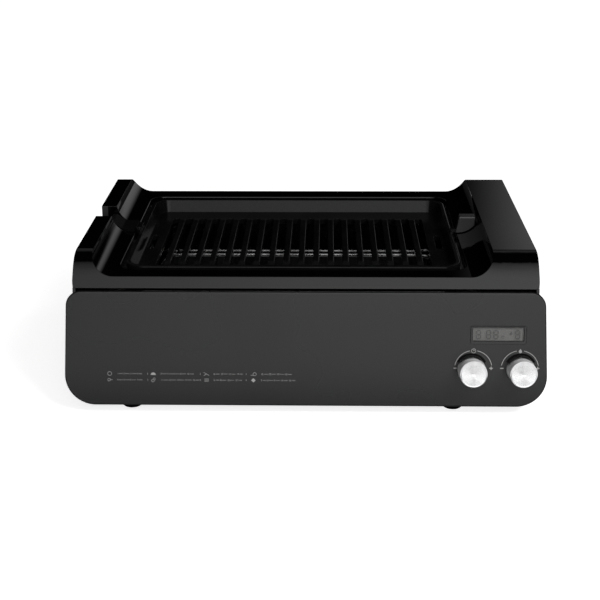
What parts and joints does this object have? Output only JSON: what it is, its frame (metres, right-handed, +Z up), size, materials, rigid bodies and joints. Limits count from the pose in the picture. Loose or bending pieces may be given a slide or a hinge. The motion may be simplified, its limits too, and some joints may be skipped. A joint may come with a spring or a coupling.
{
  "type": "smokeless indoor grill",
  "caption": "Countertop infrared grill: gloss deck with raised side blocks, lift-out slotted plate over a drip tray, satin front panel with display and push-and-turn knobs.",
  "frame": {"origin": "on the supporting surface, under the middle of the object's bounding box", "axes": "+Z up, +X to the user's right, +Y away from the user, so the front panel faces -Y"},
  "size_m": [0.5088, 0.3726, 0.1665],
  "materials": {
    "fascia": "satin",
    "gloss_black": "gloss",
    "housing": "fine texture",
    "nonstick": "semi gloss",
    "tab_plastic": "satin",
    "knob_aluminium": "spun",
    "steel": "bright",
    "aluminium": "satin",
    "quartz": "clear",
    "ceramic": "matt",
    "lens": "clear",
    "display": "satin",
    "board": "satin",
    "component": "satin",
    "rubber": "matt",
    "fastener": "zinc",
    "brass": "satin"
  },
  "bodies": {
    "root": {"front_panel": "fascia", "display_bezel": "fascia", "display_lens": "lens", "display_module": "display", "top_housing": "gloss_black", "base_housing": "housing", "bottom_cover": "housing", "well_liner": "steel", "control_board": "board", "power_board": "board", "relay": "component", "triac": "component", "terminal_block": "component", "capacitor": "component", "heatsink": "aluminium", "thermal_cutout": "steel", "temperature_sensor": "steel", "inlet_socket": "component", "inlet_pins": "brass", "inlet_screws": "fastener", "panel_screws": "fastener", "control_board_screws": "fastener", "power_board_screws": "fastener", "liner_screws": "fastener", "foot_screws": "fastener", "housing_screws": "fastener", "cover_screws": "fastener", "foot_front_left": "rubber", "foot_front_right": "rubber", "foot_rear_left": "rubber", "foot_rear_right": "rubber", "reflector_left": "aluminium", "heater_tube_left": "quartz", "heater_caps_left": "ceramic", "heater_brackets_left": "steel", "heater_guard_left": "steel", "reflector_right": "aluminium", "heater_tube_right": "quartz", "heater_caps_right": "ceramic", "heater_brackets_right": "steel", "heater_guard_right": "steel", "timer_encoder": "component", "heat_encoder": "component"},
    "tray": {"drip_tray": "steel"},
    "plate": {"grill_plate": "nonstick", "lift_tab_left": "tab_plastic", "lift_tab_right": "tab_plastic", "tab_rivets": "fastener"},
    "timer_push": {"timer_plunger": "component"},
    "timer_knob": {"timer_shaft": "steel", "timer_knob_core": "component", "timer_knob_cap": "knob_aluminium"},
    "heat_push": {"heat_plunger": "component"},
    "heat_knob": {"heat_shaft": "steel", "heat_knob_core": "component", "heat_knob_cap": "knob_aluminium"}
  },
  "joints": [
    {"name": "tray_lift", "type": "slide", "parent": "root", "child": "tray", "axis": [0, 0, 1], "range_m": [0, 0.15]},
    {"name": "plate_lift", "type": "slide", "parent": "tray", "child": "plate", "axis": [0, 0, 1], "range_m": [0, 0.07]},
    {"name": "timer_press", "type": "slide", "parent": "root", "child": "timer_push", "axis": [0, 0.9839, -0.1789], "range_m": [0, 0.0006], "stiffness_N_per_m": 3000},
    {"name": "timer_turn", "type": "hinge", "parent": "timer_push", "child": "timer_knob", "pos_m": [0.1745, -0.16086, 0.05263], "axis": [0, -0.9839, 0.1789], "continuous": true},
    {"name": "heat_press", "type": "slide", "parent": "root", "child": "heat_push", "axis": [0, 0.9839, -0.1789], "range_m": [0, 0.0006], "stiffness_N_per_m": 3000},
    {"name": "heat_turn", "type": "hinge", "parent": "heat_push", "child": "heat_knob", "pos_m": [0.226, -0.16086, 0.05263], "axis": [0, -0.9839, 0.1789], "continuous": true}
  ]
}
